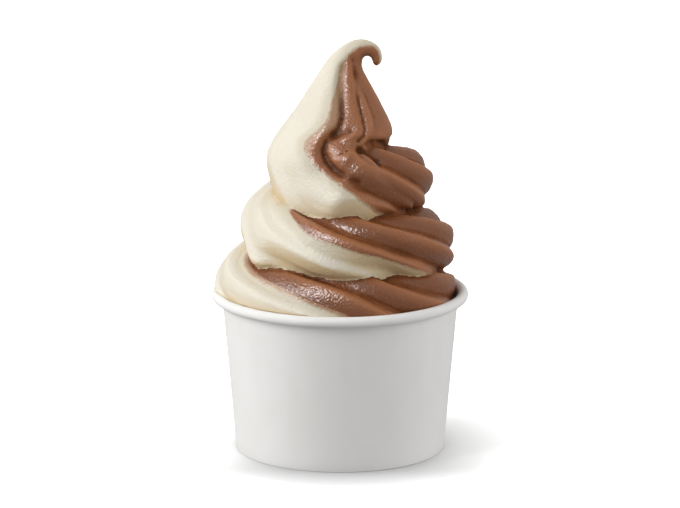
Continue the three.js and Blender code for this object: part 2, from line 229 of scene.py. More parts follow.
VIEW_TILT = math.radians(12.97)  # how far from above the horizon those lines are seen
VIEW_FACING = 2.2  # how soon those marks are full as the skin turns to the front

FIRST_TURN = 0.95
LAST_TURN = LIFT[-1, 0]
STATIONS_PER_TURN = 16
SWING = (3.1, 3.6)  # turns between which the rope swings upright
SWING_REACH = 0.05  # its skin moves this much further there than its middle, to each fine step

# The ice cream in the middle of the coil
CORE_BOTTOM = FILL_TOP - 4.0
CORE_BOTTOM_RADIUS = 24.0
CORE_TOP_RADIUS = 12.0
CORE_TOP = 112.0

# Steps along the rope in millimetres, and points round it
BODY_STEP, BODY_SIDES = 0.6, 260
MAP_STEP, MAP_SIDES = 0.8, 220
SIDE_STEP, SIDE_ARC, SIDE_CHORD = 0.9, 90, 26
SIDE_GROWTH = 1.3  # the form that parts the flavours stands this far out of the rope
SIDE_VOXEL = 0.8

# The uneven skin: length and width of its streaks, and size of its lumps, froth and frothy patches,
# in millimetres
BROAD_STREAK = (14, 3.4)
FINE_STREAK = (5, 1.5)
LUMP, FROTH, PATCH = 7.0, 1.3, 11.0
STREAK_FADE = ([3.25, 3.4], [1, 0.2])  # the streaks fade over these turns

# How hollow the skin is, by name: how many rounds a point's surroundings are averaged over, the
# depth in millimetres where it begins, how much deeper it is full, its least value, and the rounds
# of smoothing after.
HOLLOWS = {
    "fold": (60, 0.0, 1.2, -1, 3),
    "hollow": (12, 0.0, 0.4, 0, 3),
    "crease": (5, 0.06, 0.14, 0, 1),
}
FLAVOUR_REACH = 6.0  # millimetres from the boundary of the flavours that still count
FLANK_FADE = ([3.2, 3.4], [1, 0.25])  # the shade of the ribs' flanks fades over these turns
UNDER_FROM = 0.3  # skin that faces up less than this counts as an underside
LAYER_SHIFT = 3.7  # moves the streaks from each half turn to the next
NEAR_WEIGHT = 0.02  # added to the distance of a point's neighbours, so that none counts for all
CUT_AGREES = 0.5  # a face that faces this much like the skin isn't a cut one

# The stage, in metres
FLOOR_HALF = 12.0
LAMPS_LOOK_AT = (0, 0, 0.07)
# Each light's place and size, and whether it lights matt surfaces and whether it makes highlights
LIGHTS = (
    ("key", (-1.75, -0.50, 0.92), (1.8, 1.3), True, True),
    ("ceiling", (-0.4, 0.6, 1.9), (0.9, 0.9), True, True),
    ("front", (-0.90, -1.45, 1.28), (0.6, 0.6), False, True),
    ("side", (2.2, -0.45, 0.7), (1.6, 1.6), True, False),
)


def linear(red, green, blue):
    """A screen colour, 0 to 255, as the scene's linear colour."""
    shares = [value / 255 for value in (red, green, blue)]
    return [s / 12.92 if s <= 0.04045 else ((s + 0.055) / 1.055) ** 2.4 for s in shares]


def tinted(colour, red, green, blue):
    """A colour with its red, green and blue multiplied."""
    return [colour[0] * red, colour[1] * green, colour[2] * blue]


# ---- Settings a user would change ----


class PaperCupSettings(bpy.types.PropertyGroup):
    """Seam, detail and colour of the paper cup"""

    seam_angle: bpy.props.FloatProperty(
        name="Seam Angle", description="Where the glued side seam is, round from the right",
        default=math.radians(68), subtype="ANGLE", unit="ROTATION")
    seam_width: bpy.props.FloatProperty(
        name="Seam Width", description="Width of the overlap at the glued side seam",
        default=7.2 * MM, min=0, unit="LENGTH", precision=4)
    seam_step: bpy.props.FloatProperty(
        name="Seam Step", description="How far the overlap stands out from the wall",
        default=0.32 * MM, min=0, unit="LENGTH", precision=5)
    sides: bpy.props.IntProperty(
        name="Sides", description="Steps round the cup", default=240, min=24, max=720)
    colour: bpy.props.FloatVectorProperty(
        name="Paper", description="Colour of the paper board",
        default=linear(236, 235, 233), subtype="COLOR", size=3, min=0, max=1)


class SwirlSettings(bpy.types.PropertyGroup):
    """Detail and colours of the ice cream"""

    detail: bpy.props.FloatProperty(
        name="Detail", description="Size of the smallest form in the ice cream's mesh",
        default=0.62 * MM, min=0.3 * MM, max=3 * MM, unit="LENGTH", precision=5)
    relief: bpy.props.FloatProperty(
        name="Relief", description="Height of the uneven, frothy surface",
        default=0.16 * MM, min=0, max=1 * MM, unit="LENGTH", precision=5)
    vanilla: bpy.props.FloatVectorProperty(
        name="Vanilla", description="Colour of the vanilla ice cream",
        default=linear(225, 218, 202), subtype="COLOR", size=3, min=0, max=1)
    chocolate: bpy.props.FloatVectorProperty(
        name="Chocolate", description="Colour of the chocolate ice cream",
        default=linear(150, 96, 61), subtype="COLOR", size=3, min=0, max=1)
    marbled: bpy.props.FloatVectorProperty(
        name="Marbled", description="Colour where the two flavours run together",
        default=linear(174, 138, 108), subtype="COLOR", size=3, min=0, max=1)


class StageSettings(bpy.types.PropertyGroup):
    """Camera, light and floor"""

    distance: bpy.props.FloatProperty(
        name="Camera Distance", description="From the camera to the middle of the object",
        default=1.6, min=0.1, unit="LENGTH")
    elevation: bpy.props.FloatProperty(
        name="Camera Elevation", description="Angle of the camera above the horizon",
        default=VIEW_TILT, subtype="ANGLE", unit="ROTATION")
    view_width: bpy.props.FloatProperty(
        name="View Width", description="Width of the picture at the object",
        default=251.4 * MM, min=0.01, unit="LENGTH")
    aim_height: bpy.props.FloatProperty(
        name="Aim Height", description="Height that the camera looks at",
        default=72.9 * MM, unit="LENGTH")
    key: bpy.props.FloatProperty(
        name="Key Light", description="Power of the large soft light at the upper left",
        default=36.5, min=0, unit="POWER")
    ceiling: bpy.props.FloatProperty(
        name="Ceiling Light", description="Power of the soft light overhead",
        default=2.5, min=0, unit="POWER")
    top: bpy.props.FloatProperty(
        name="Ceiling", description="Brightness of the white ceiling", default=0.50, min=0)
    below: bpy.props.FloatProperty(
        name="Bounce", description="Brightness of the light that the white table throws up",
        default=0.34, min=0)
    front: bpy.props.FloatProperty(
        name="Front Light", description="Power of the small light that glints on the wet ribs",
        default=48.0, min=0, unit="POWER")
    side: bpy.props.FloatProperty(
        name="Side Light", description="Power of the soft light at the right",
        default=25.0, min=0, unit="POWER")
    room: bpy.props.FloatProperty(
        name="Room Light", description="Brightness of the room all round",
        default=0.42, min=0)
    floor: bpy.props.FloatVectorProperty(
        name="Floor", description="Brightness of the floor under the studio light",
        default=(1.66, 1.66, 1.66), subtype="COLOR", size=3, min=0, max=4)


# ---- Small helpers for curves, noise and meshes ----


def through(rows, at):
    """A smooth curve through a table's rows, whose first column is the place along it."""
    place, values = rows[:, 0], rows[:, 1:]
    gap = np.diff(place)[:, None]
    slope = np.diff(values, axis=0) / gap
    tangent = np.empty_like(values)
    tangent[0], tangent[-1] = slope[0], slope[-1]
    tangent[1:-1] = (slope[:-1] * gap[1:] + slope[1:] * gap[:-1]) / (gap[1:] + gap[:-1])
    k = np.clip(np.searchsorted(place, at, side="right") - 1, 0, len(place) - 2)
    width = gap[k]
    s = (at - place[k])[:, None] / width
    return (
        (2 * s**3 - 3 * s**2 + 1) * values[k]
        + (s**3 - 2 * s**2 + s) * width * tangent[k]
        + (3 * s**2 - 2 * s**3) * values[k + 1]
        + (s**3 - s**2) * width * tangent[k + 1]
    )


def smooth_noise(points, seed):
    """Smooth noise from -1 to 1 at each point, with one cell to a unit of length."""
    cell = np.floor(points).astype(np.int64)
    part = points - cell
    fade = part**3 * (part * (part * 6 - 15) + 10)
    total = np.zeros(len(points))
    for corner in range(8):
        offset = np.array([corner & 1, corner >> 1 & 1, corner >> 2 & 1])
        x, y, z = (cell + offset).T
        key = (x * 73856093) ^ (y * 19349663) ^ (z * 83492791) ^ (seed * 2654435761)
        key = (key ^ (key >> 13)) * 1274126177 & 0x7FFFFFFF
        key = (key ^ (key >> 16)) & 0xFFFF
        weight = np.prod(np.where(offset, fade, 1 - fade), axis=1)
        total += weight * (key / 32767.5 - 1)
    return total


def mesh_of(name, points, faces):
    """A mesh from points in millimetres and a list of arrays of face corners."""
    mesh = bpy.data.meshes.new(name)
    corners = np.concatenate([f.ravel() for f in faces])
    sizes = np.concatenate([np.full(len(f), f.shape[1]) for f in faces])
    starts = np.concatenate([[0], np.cumsum(sizes)[:-1]])
    mesh.vertices.add(len(points))
    mesh.vertices.foreach_set("co", (points * MM).astype(np.float32).ravel())
    mesh.loops.add(len(corners))
    mesh.loops.foreach_set("vertex_index", corners.astype(np.int32))
    mesh.polygons.add(len(sizes))
    mesh.polygons.foreach_set("loop_start", starts.astype(np.int32))
    mesh.update(calc_edges=True)
    mesh.validate()
    return mesh


def points_of(mesh):
    """A mesh's points, in millimetres."""
    flat = np.empty(len(mesh.vertices) * 3, np.float32)
    mesh.vertices.foreach_get("co", flat)
    return flat.reshape(-1, 3).astype(float) / MM


def normals_of(mesh):
    """A mesh's vertex normals."""
    flat = np.empty(len(mesh.vertices) * 3, np.float32)
    mesh.vertex_normals.foreach_get("vector", flat)
    return flat.reshape(-1, 3).astype(float)


def set_points(mesh, points):
    """Moves a mesh's points, given in millimetres."""
    mesh.vertices.foreach_set("co", (points * MM).astype(np.float32).ravel())
    mesh.update()


def spun(count, sides):
    """Faces between neighbouring rings of points, a number of rings with as many sides each."""
    ring, side = np.meshgrid(np.arange(count - 1), np.arange(sides), indexing="ij")
    after = (side + 1) % sides
    a, b = ring * sides + side, ring * sides + after
    return np.stack([a, b, b + sides, a + sides], -1).reshape(-1, 4)


def end_caps(count, sides):
    """Triangles from the first and the last ring to the two points that come after all the rings."""
    side = np.arange(sides)
    after = (side + 1) % sides
    base = (count - 1) * sides
    first = np.stack([np.full(sides, count * sides), after, side], -1)
    last = np.stack([np.full(sides, count * sides + 1), base + side, base + after], -1)
    return np.concatenate([first, last])


def new_object(name, mesh):
    """Puts a mesh into the scene."""
    piece = bpy.data.objects.new(name, mesh)
    bpy.context.scene.collection.objects.link(piece)
    return piece


def applied(piece):
    """The piece's mesh with its modifiers in it."""
    bpy.context.view_layer.update()
    graph = bpy.context.evaluated_depsgraph_get()
    return bpy.data.meshes.new_from_object(piece.evaluated_get(graph), depsgraph=graph)


def fused(name, mesh, voxel):
    """One closed skin round everything in a mesh."""
    piece = new_object(name, mesh)
    skin = piece.modifiers.new("fuse", "REMESH")
    skin.mode = "VOXEL"
    skin.voxel_size = voxel
    result = applied(piece)
    bpy.data.objects.remove(piece)
    if not result.polygons:
        raise RuntimeError(f"{name}: the skin came out empty")
    return result


def cut(name, mesh, other, operation):
    """A mesh joined with, kept inside, or cleared of another."""
    piece, tool = new_object(name, mesh), new_object(name + "_tool", other)
    change = piece.modifiers.new("cut", "BOOLEAN")
    change.solver = "MANIFOLD"
    change.operation = operation
    change.object = tool
    result = applied(piece)
    bpy.data.objects.remove(piece)
    bpy.data.objects.remove(tool)
    if not result.polygons:
        raise RuntimeError(f"{name}: nothing was left of the {operation.lower()}")
    return result


def evened(mesh, points, rounds, strength=0.5, back=-0.52):
    """The points with small steps smoothed away and the larger forms kept."""
    edges = np.empty(len(mesh.edges) * 2, np.int32)
    mesh.edges.foreach_get("vertices", edges)
    one, two = edges.reshape(-1, 2).T
    count = np.bincount(one, minlength=len(points)) + np.bincount(two, minlength=len(points))
    for _ in range(rounds):
        for share in (strength, back):
            around = np.stack([
                np.bincount(one, points[two, axis], len(points))
                + np.bincount(two, points[one, axis], len(points))
                for axis in range(3)
            ], -1) / np.maximum(count, 1)[:, None]
            points = points + share * (around - points)
    return points


def spread(mesh, values, rounds):
    """Values at the points, each averaged with its neighbours some rounds over."""
    edges = np.empty(len(mesh.edges) * 2, np.int32)
    mesh.edges.foreach_get("vertices", edges)
    one, two = edges.reshape(-1, 2).T
    size = len(values)
    count = np.maximum(np.bincount(one, minlength=size) + np.bincount(two, minlength=size), 1)
    for _ in range(rounds):
        total = np.bincount(one, values[two], size) + np.bincount(two, values[one], size)
        values = 0.5 * values + 0.5 * total / count
    return values


def keep_value(mesh, name, values):
    """Stores one number at each point of a mesh."""
    layer = mesh.attributes.new(name, "FLOAT", "POINT")
    layer.data.foreach_set("value", values.astype(np.float32))


# ---- Materials ----


class Nodes:
    """A material's nodes, made and joined in one line each."""

    def __init__(self, name):
        self.material = bpy.data.materials.new(name)
        self.material.use_nodes = True
        self.tree = self.material.node_tree
        self.tree.nodes.clear()
        self.output = self.tree.nodes.new("ShaderNodeOutputMaterial")
        self.shader = self.tree.nodes.new("ShaderNodeBsdfPrincipled")
        self.tree.links.new(self.shader.outputs[0], self.output.inputs[0])

    def add(self, kind, inputs=None, **settings):
        """A new node with its settings, and with values or other nodes at its inputs."""
        node = self.tree.nodes.new("ShaderNode" + kind)
        for key, value in settings.items():
            setattr(node, key, value)
        for key, value in (inputs or {}).items():
            self.put(node, key, value)
        return node

    def put(self, node, key, value):
        """Sets an input of a node to a value, or joins it to another node."""
        socket = node.inputs[key]
        if isinstance(value, bpy.types.Node):
            value = value.outputs[0]
        if isinstance(value, bpy.types.NodeSocket):
            self.tree.links.new(value, socket)
        elif hasattr(value, "__len__") and len(value) == 3 and socket.type == "RGBA":
            socket.default_value = (*value, 1)
        else:
            socket.default_value = value

    def value(self, name):
        """A number stored at the mesh's points."""
        return self.add("Attribute", attribute_name=name).outputs["Fac"]

    def maths(self, operation, a, b):
        """One sum of two values."""
        return self.add("Math", {0: a, 1: b}, operation=operation)

    def ranged(self, value, low, high, to_low=0.0, to_high=1.0, smooth=True):
        """A value's step from low to high, as a step between two other values."""
        return self.add(
            "MapRange",
            {"Value": value, "From Min": low, "From Max": high, "To Min": to_low, "To Max": to_high},
            interpolation_type="SMOOTHSTEP" if smooth else "LINEAR")

    def mixed(self, share, a, b, how="MIX"):
        """Two colours mixed, with a share of the second."""
        node = self.add("Mix", data_type="RGBA", blend_type=how, clamp_factor=True)
        self.put(node, 0, share)
        self.put(node, 6, a)
        self.put(node, 7, b)
        return node.outputs[2]

    def layered(self, colour, layers):
        """A colour with others laid over it in turn, each with its share."""
        for share, over in layers:
            colour = self.mixed(share, colour, over)
        return colour

    def noise(self, where, scale, detail=2.0, rough=0.5):
        """Soft noise from 0 to 1."""
        return self.add(
            "TexNoise",
            {"Vector": where, "Scale": scale, "Detail": detail, "Roughness": rough}).outputs["Fac"]

    def bump(self, height, strength, millimetres, below=None):
        """A fine relief, on top of another where one is given."""
        relief = self.add("Bump", {"Height": height, "Strength": strength, "Distance": millimetres * MM})
        if below is not None:
            self.put(relief, "Normal", below)
        return relief


def paper_material(settings):
    """White board with a faint cloudiness and a fine fibre grain."""
    n = Nodes("white_paper_board")
    where = n.add("TexCoord").outputs["Object"]
    stretched = n.add("Mapping", {"Vector": where, "Scale": (1, 1, 0.55)})
    cloud = n.noise(stretched, 90, 3)
    fibre = n.noise(stretched, 2600, 3, 0.6)
    white = list(settings.colour)
    shade = tinted(white, 0.975, 0.973, 0.966)
    n.put(n.shader, "Base Color", n.mixed(n.ranged(cloud, 0.3, 0.7), shade, white))
    n.put(n.shader, "Roughness", n.ranged(fibre, 0.3, 0.7, 0.56, 0.70))
    n.shader.inputs["Specular IOR Level"].default_value = 0.2
    n.shader.inputs["IOR"].default_value = 1.56
    n.put(n.shader, "Normal", n.bump(fibre, 0.12, 0.05, n.bump(cloud, 0.05, 0.6)))
    return n.material


def ice_cream_material(name, settings, finish):
    """Soft ice cream, marbled where the other flavour begins, with an icy grain and painted shade and
    light.
    """
    n = Nodes(name)
    where = n.add("TexCoord").outputs["Object"]
    drawn_out = n.maths("MULTIPLY", n.value("along"), 0.16)
    flow = n.add("CombineXYZ", {"X": drawn_out, "Y": n.value("around"), "Z": n.value("layer")})
    streak = n.noise(flow, 0.55, 3, 0.55)
    fine_streak = n.noise(flow, 1.1, 1, 0.4)
    cloud = n.noise(where, 95, 3, 0.5)
    grain = n.noise(where, 1700, 2, 0.6)
    froth = n.noise(where, 1150, 0.5, 0.4)
    hollow, crease, under, fold, flank = (
        n.value(key) for key in ("hollow", "crease", "under", "fold", "flank"))

    # Millimetres from where one flavour runs into the other, on to chocolate.
    wander = n.maths("MULTIPLY", n.maths("SUBTRACT", streak, 0.5), 1.6)
    ragged = n.maths("MULTIPLY", n.maths("SUBTRACT", froth, 0.5), 0.9)
    place = n.maths("ADD", n.maths("ADD", n.value("flavour"), wander), ragged)

    vanilla, chocolate = list(settings.vanilla), list(settings.chocolate)
    # Painted shade: darker, warmer copies of the vanilla for where shade falls
    warm_shaded_vanilla = tinted(vanilla, 0.93, 0.84, 0.66)
    dim_shaded_vanilla = tinted(vanilla, 0.83, 0.80, 0.74)
    # Painted shade in hollows, folds, flanks, beside the chocolate, on undersides and in creases
    white = n.layered(vanilla, (
        (n.ranged(hollow, 0.0, 1.0), warm_shaded_vanilla),
        (n.ranged(fold, 0.02, 0.5), warm_shaded_vanilla),
        (n.maths("MULTIPLY", flank, 0.35), dim_shaded_vanilla),
        (n.ranged(place, -6, -1), dim_shaded_vanilla),
        # painted shade on undersides, and the darkest painted shade in the creases
        (n.ranged(under, 0.05, 0.7), tinted(vanilla, 0.90, 0.76, 0.54)),
        (n.maths("MULTIPLY", crease, 0.8), tinted(vanilla, 0.60, 0.45, 0.28)),
    ))
    # Paler chocolate for its own streaks and clouds, and for painted light on rounded crests
    pale_and_lit_chocolate = [min(1, part * 1.28) for part in chocolate]
    shaded_chocolate = tinted(chocolate, 0.52, 0.43, 0.36)
    # Painted shade in hollows, folds, flanks, undersides and creases; painted light on crests
    brown = n.layered(chocolate, (
        (n.ranged(hollow, 0.0, 1.0), shaded_chocolate),
        (n.maths("MULTIPLY", n.ranged(fold, -0.02, 0.35), 0.7), shaded_chocolate),
        (n.maths("MULTIPLY", n.ranged(fold, -0.03, -0.3), 0.7), pale_and_lit_chocolate),
        (n.maths("MULTIPLY", n.ranged(fine_streak, 0.45, 0.75), 0.35), pale_and_lit_chocolate),
        (n.maths("MULTIPLY", n.ranged(cloud, 0.55, 0.8), 0.25), pale_and_lit_chocolate),
        (n.maths("MULTIPLY", flank, 0.75), shaded_chocolate),
        (n.maths("MULTIPLY", under, 0.3), shaded_chocolate),
        (n.maths("MULTIPLY", crease, 0.85), tinted(shaded_chocolate, 0.35, 0.35, 0.35)),
    ))
    to_marble = n.ranged(place, -0.7, 0.7)
    to_brown = n.ranged(n.maths("DIVIDE", place, n.value("zone")), 0.35, 1.05)
    marbled = n.mixed(to_marble, white, list(settings.marbled))
    n.put(n.shader, "Base Color", n.mixed(to_brown, marbled, brown))

    # Painted shade on the sheen: what is sunken between the ribs, in creases and folds, shines less.
    n.put(n.shader, "Roughness", n.ranged(grain, 0.3, 0.7, *finish["roughness"]))
    sunken = n.maths("MAXIMUM", n.maths("MULTIPLY", crease, 2.5), n.ranged(fold, 0.0, 0.3))
    n.put(n.shader, "Specular IOR Level", n.ranged(sunken, 0.0, 0.9, finish["specular"], 0.08))
    n.shader.inputs["IOR"].default_value = 1.5
    n.shader.inputs["Subsurface Weight"].default_value = finish["depth_weight"]
    n.shader.inputs["Subsurface Radius"].default_value = finish["depth_colour"]
    n.shader.inputs["Subsurface Scale"].default_value = finish["depth"] * MM
    ridges = n.bump(fine_streak, finish["streaks"], 0.3)
    bubbles = n.bump(froth, finish["froth"], 0.25, ridges)
    n.put(n.shader, "Normal", n.bump(grain, finish["grain"], 0.05, bubbles))
    return n.material


VANILLA_FINISH = {
    "roughness": (0.44, 0.58), "specular": 0.4, "depth_weight": 0.35,
    "depth_colour": (1.0, 0.85, 0.6), "depth": 1.6,
    "streaks": 0.20, "froth": 0.60, "grain": 0.40,
}
CHOCOLATE_FINISH = {
    "roughness": (0.27, 0.42), "specular": 0.5, "depth_weight": 0.0,
    "depth_colour": (1.0, 0.6, 0.4), "depth": 0.8,
    "streaks": 0.30, "froth": 0.95, "grain": 0.50,
}


# ---- The paper cup ----

BEAD_RADIUS_AT = RIM_DIAMETER / 2 - BEAD_RADIUS
BEAD_HEIGHT_AT = CUP_HEIGHT - BEAD_RADIUS
BEAD_MEETS_WALL = -158  # degrees round the bead where the outside of the wall runs into it
INNER_TOP_RADIUS = BEAD_RADIUS_AT - BEAD_RADIUS
INNER_TOP = 54.0
OUTER_FOOT_RADIUS = FOOT_DIAMETER / 2
WALL_SLOPE = (INNER_TOP_RADIUS + PAPER - OUTER_FOOT_RADIUS) / BEAD_HEIGHT_AT
SEAM_EDGE = 0.35  # how wide the step at each side of the seam is
# Slight waves of the paper wall: size, number round the cup, where they start, and lean upwards
WALL_WAVES = ((0.05, 3, 0.6, 0), (0.03, 7, 0, 1 / 23))
FOOT_EDGE = 0.35  # how far up the wall's outer edge is rounded


def inner_radius_at(height):
    """Radius of the wall's inner face at a height above the table."""
    return OUTER_FOOT_RADIUS + WALL_SLOPE * height - PAPER


def bead_arc(radius, from_degrees, to_degrees, steps):
    """Points round the rolled rim's section."""
    angles = np.radians(np.linspace(from_degrees, to_degrees, steps + 1))
    return [
        (BEAD_RADIUS_AT + radius * math.cos(a), BEAD_HEIGHT_AT + radius * math.sin(a))
        for a in angles
    ]


def line(start, end, steps):
    """Points on a straight line, without its last one."""
    return [
        (start[0] + (end[0] - start[0]) * i / steps, start[1] + (end[1] - start[1]) * i / steps)
        for i in range(steps)
    ]


def lathe_mesh(name, outline, sides, swell=None):
    """A closed outline of radius and height, turned round the upright axis.

    Where swell is given, it moves each point outwards by a number of millimetres.
    """
    angles = np.linspace(0, 2 * math.pi, sides, endpoint=False)
    profile = np.array(outline)
    on_axis = profile[:, 0] < 1e-9
    radius = np.repeat(profile[:, :1], sides, axis=1)
    height = np.repeat(profile[:, 1:], sides, axis=1)
    if swell is not None:
        radius = radius + swell(np.broadcast_to(angles, radius.shape), height, radius)
    points = np.stack([radius * np.cos(angles), radius * np.sin(angles), height], -1)
    if on_axis[0] and on_axis[-1]:
        count = len(profile) - 2
        flat = np.concatenate([points[1:-1].reshape(-1, 3), points[0, :1], points[-1, :1]])
        return mesh_of(name, flat, [spun(count, sides), end_caps(count, sides)])
    side = np.arange(sides)
    after = (side + 1) % sides
    base = (len(profile) - 1) * sides
    closing = np.stack([base + side, base + after, after, side], -1)
    return mesh_of(name, points.reshape(-1, 3), [spun(len(profile), sides), closing])


def finish_piece(piece, material, sharp_degrees=None):
    """Gives a piece its material and smooth shading."""
    piece.data.materials.clear()
    piece.data.materials.append(material)
    piece.data.shade_smooth()
    if sharp_degrees is not None:
        piece.data.set_sharp_from_angle(angle=math.radians(sharp_degrees))


def cup_wall_outline():
    """Section of the wall: up its outside, round the rolled rim, down inside and round the fold."""
    fold_inner = inner_radius_at(FOLD_HEIGHT) - PAPER
    foot_inner = inner_radius_at(0) - PAPER
    bead = bead_arc(BEAD_RADIUS, BEAD_MEETS_WALL, 180, 34)
    above_fold = (inner_radius_at(FOLD_HEIGHT), FOLD_HEIGHT + 0.2)
    return [
        *line((OUTER_FOOT_RADIUS, FOOT_EDGE), bead[0], 14),
        *bead,
        *line((inner_radius_at(INNER_TOP), INNER_TOP), above_fold, 8),
        (inner_radius_at(FOLD_HEIGHT), FOLD_HEIGHT + 0.1),
        (fold_inner + 0.15, FOLD_HEIGHT),
        (fold_inner, FOLD_HEIGHT - 0.15),
        (foot_inner, 0.2),
        (foot_inner + 0.2, 0),
        (OUTER_FOOT_RADIUS - FOOT_EDGE, 0),
        (OUTER_FOOT_RADIUS - 0.1, 0.1),
    ]


def cup_base_outline():
    """Section of the recessed base: its disc, and the skirt that is glued inside the fold."""
    def edge(height):
        return inner_radius_at(height) - PAPER - BASE_CLEARANCE

    underside = BASE_TOP - PAPER
    inside = edge(underside) - PAPER
    return [
        (0, underside),
        (inside - 0.8, underside),
        (inside - 0.2, underside - 0.2),
        (inside, underside - 0.8),
        (edge(SKIRT_BOTTOM) - PAPER, SKIRT_BOTTOM),
        (edge(SKIRT_BOTTOM), SKIRT_BOTTOM),
        (edge(BASE_TOP) - 0.02, BASE_TOP - 0.7),
        (edge(BASE_TOP) - 0.2, BASE_TOP - 0.15),
        (edge(BASE_TOP) - 0.7, BASE_TOP),
        (0, BASE_TOP),
    ]


def seam_and_waves(settings):
    """A function that says how far the paper stands out of the wall's true cone."""
    seam_half, seam_step = settings.seam_width / MM / 2, settings.seam_step / MM

    def swell(angle, height, radius):
        away = (angle - settings.seam_angle + math.pi) % (2 * math.pi) - math.pi
        across = away * OUTER_FOOT_RADIUS
        in_seam = np.clip((seam_half - np.abs(across)) / SEAM_EDGE + 0.5, 0, 1)
        on_outside = radius > inner_radius_at(height) + PAPER / 2
        near_bead = np.clip((height - (BEAD_HEIGHT_AT - 2 * BEAD_RADIUS)) / BEAD_RADIUS, 0, 1)
        waves = sum(
            size * np.sin(count * angle + start + height * lean)
            for size, count, start, lean in WALL_WAVES)
        return np.where(on_outside, in_seam * seam_step * (1 - near_bead), 0) + waves

    return swell


class SOFTSERVE_OT_make_cup(bpy.types.Operator):
    """Make the paper cup: its wall with the rolled rim, and its recessed base"""

    bl_idname = "softserve.make_cup"
    bl_label = "Make Paper Cup"

    def execute(self, context):
        settings = context.scene.softserve_cup
        board = paper_material(settings)
        for name, node, outline, swell in (
                ("paper_cup_wall", "cup_wall", cup_wall_outline(), seam_and_waves(settings)),
                ("paper_cup_base", "cup_base", cup_base_outline(), None)):
            piece = new_object(name, lathe_mesh(name, outline, settings.sides, swell))
            finish_piece(piece, board, 50)
            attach(piece, "root")
            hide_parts(node)
        return {"FINISHED"}


# ---- The swirl ----


def rope_stations():
    """Every station of the rope: turn, place, half width and height, twist, rib depth, direction."""
    turns = np.arange(COIL[0, 0], COIL[-1, 0] + 1e-9, 1 / STATIONS_PER_TURN)
    x, radius, height, half_width, half_height, twist, depth = through(COIL, turns).T
    angle = -2 * math.pi * turns
    coil = np.stack([
        turns, x + radius * np.cos(angle), radius * np.sin(angle), height,
        half_width, half_height, twist, depth,
    ], -1)
    lift = np.stack([*LIFT[:, :5].T, LIFT[:, 4], LIFT[:, 5], LIFT[:, 6]], -1)
    rows = np.concatenate([coil, lift])
    along = np.empty((len(rows), 3))
    along[1:-1] = rows[2:, 1:4] - rows[:-2, 1:4]
    along[0], along[-1] = rows[1, 1:4] - rows[0, 1:4], rows[-1, 1:4] - rows[-2, 1:4]
    along /= np.linalg.norm(along, axis=1)[:, None]
    lean = np.radians(LIFT[:, 7])
    along[len(coil):] = np.stack([-np.sin(lean), 0 * lean, np.cos(lean)], -1)
    return np.concatenate([rows, along], axis=1)


def rib_at(angle, depth):
    """How far out the rope's skin lies at an angle round it, as a share of its half width."""
    share = (angle - math.radians(RIB_START)) / (2 * math.pi / NOZZLE_RIBS) % 1
    swell = np.sin(RIB_ARC * np.minimum(share / RIB_CREST_AT, 1)) / math.sin(RIB_ARC)
    rising = swell ** RIB_FULLNESS
    falling = (1 - np.clip((share - RIB_CREST_AT) / (1 - RIB_CREST_AT), 0, 1)) ** RIB_DROP
    softer = VANILLA_RIBS + (1 - VANILLA_RIBS) * np.clip(0.5 + 1.5 * np.cos(angle), 0, 1)
    return 1 - depth * softer * (1 - np.where(share < RIB_CREST_AT, rising, falling))


def rib_flank(angle):
    """How far down a rib's long flank an angle round the rope lies: 0 at the crest and the valley."""
    share = (angle - math.radians(RIB_START)) / (2 * math.pi / NOZZLE_RIBS) % 1
    up_flank = np.minimum(share / RIB_CREST_AT, 1)
    return np.sin(math.pi * up_flank ** 0.7)


def rope_skin(turns, angles, growth=0.0):
    """Points on the rope, one ring to a turn, with its nozzle's angles round each ring.

    The nozzle never turns: the rope is only bent over from upright, so that ribs and flavours
    wind round it by themselves. Growth makes the rope thicker, in millimetres.
    """
    values = through(rope_stations(), turns)
    centre, (half_width, half_height, twist, depth) = values[:, :3], values[:, 3:7].T
    direction = values[:, 7:10] / np.linalg.norm(values[:, 7:10], axis=1)[:, None]
    angles = np.broadcast_to(angles, (len(turns), np.shape(angles)[-1]))
    turned = angles + np.radians(twist)[:, None]
    out = half_width[:, None] * rib_at(angles, depth[:, None]) + growth
    flat = np.stack([np.cos(turned), np.sin(turned), 0 * turned], -1) * out[..., None]
    axis = np.cross((0, 0, 1), direction)[:, None, :]
    once = np.cross(axis, flat)
    twice = np.cross(axis, once)
    bent = flat + once + twice / (1 + direction[:, 2])[:, None, None]
    bent[..., 2] *= (half_height / half_width)[:, None]
    points = centre[:, None, :] + bent
    for turn, angle, reach, wide, *move in SAGS:
        away = (angles - math.radians(angle) + math.pi) % (2 * math.pi) - math.pi
        share = np.exp(-((turns[:, None] - turn) / reach) ** 2 - (away / math.radians(wide)) ** 2)
        points = points + share[..., None] * move
    return points


def with_root(rings, turns):
    """The rings of the upright peak from its root turn up, on a root that narrows downwards."""
    upright = rings[turns >= ROOT_TURN]
    lowest = upright[0]
    middle = lowest.mean(0)
    steps = np.linspace(1, 0, 12, endpoint=False)[:, None, None]
    root = middle + (lowest - middle) * (1 - 0.16 * steps**2) - steps * np.array([0, 0, ROOT_DEPTH])
    return np.concatenate([root, upright])


def closed_tube(rings):
    """Points and faces of a tube through rings of points, closed at both ends."""
    count, sides = rings.shape[:2]
    ends = np.stack([rings[0].mean(0), rings[-1].mean(0)])
    return np.concatenate([rings.reshape(-1, 3), ends]), spun(count, sides), end_caps(count, sides)


def fold_rings(growth=0.0):
    """Rings of points round the folded rib."""
    place = np.arange(len(FOLD))
    rows = through(np.column_stack([place, FOLD]), np.linspace(0, place[-1], 60))
    forward = np.gradient(rows[:, :3], axis=0)
    forward /= np.linalg.norm(forward, axis=1)[:, None]
    side = np.cross(forward, (0, 1, 0))
    side /= np.linalg.norm(side, axis=1)[:, None]
    up = np.cross(side, forward)
    angles = np.linspace(0, 2 * math.pi, 40, endpoint=False)[None, :, None]
    out = side[:, None, :] * np.cos(angles) + up[:, None, :] * np.sin(angles)
    return rows[:, None, :3] + out * (rows[:, 3, None, None] + growth)


